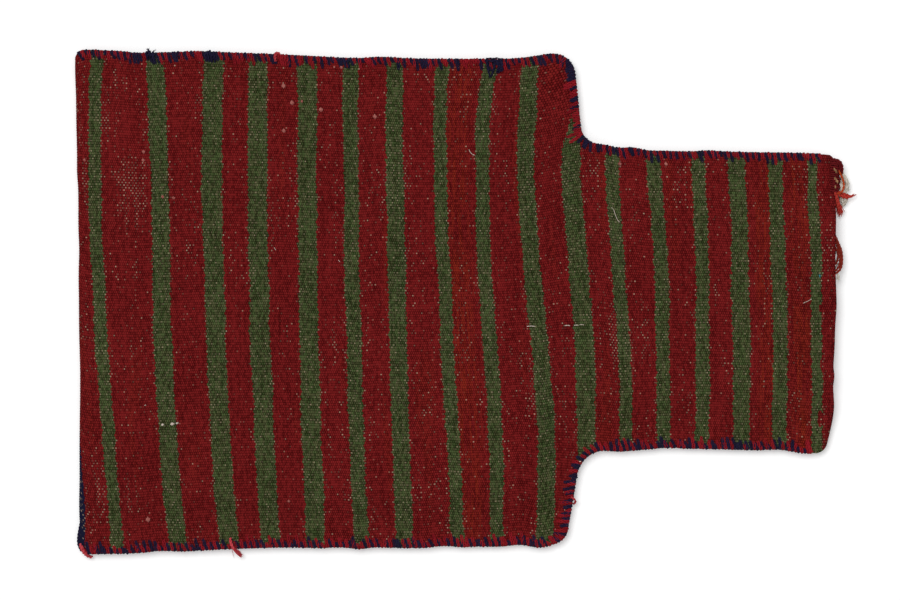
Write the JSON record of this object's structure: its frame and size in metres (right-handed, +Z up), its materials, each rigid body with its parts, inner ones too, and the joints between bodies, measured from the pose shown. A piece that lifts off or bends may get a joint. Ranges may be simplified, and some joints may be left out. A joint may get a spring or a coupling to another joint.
{
  "type": "woven salt bag",
  "caption": "Flat-woven wool salt bag in red and green cross stripes, with a narrow open neck and two-colour overcast seams, lying flat.",
  "frame": {"origin": "on the underside of the front wall, on the bag's long middle line, 198 mm from the base fold", "axes": "+X from the base fold to the open mouth, +Y across the bag, +Z up from the surface that it lies on"},
  "size_m": [0.615, 0.4038, 0.0141],
  "materials": {
    "striped_wool": "matt",
    "red_yarn": "matt",
    "navy_yarn": "matt",
    "grey_wool": "matt"
  },
  "bodies": {
    "root": {"kilim_cloth": "striped_wool", "upper_seam_overcasting": "red_yarn", "lower_seam_overcasting": "red_yarn", "upper_seam_knot": "navy_yarn", "mouth_cord_stub": "grey_wool", "mouth_cord_wrapping": "red_yarn"}
  },
  "joints": []
}
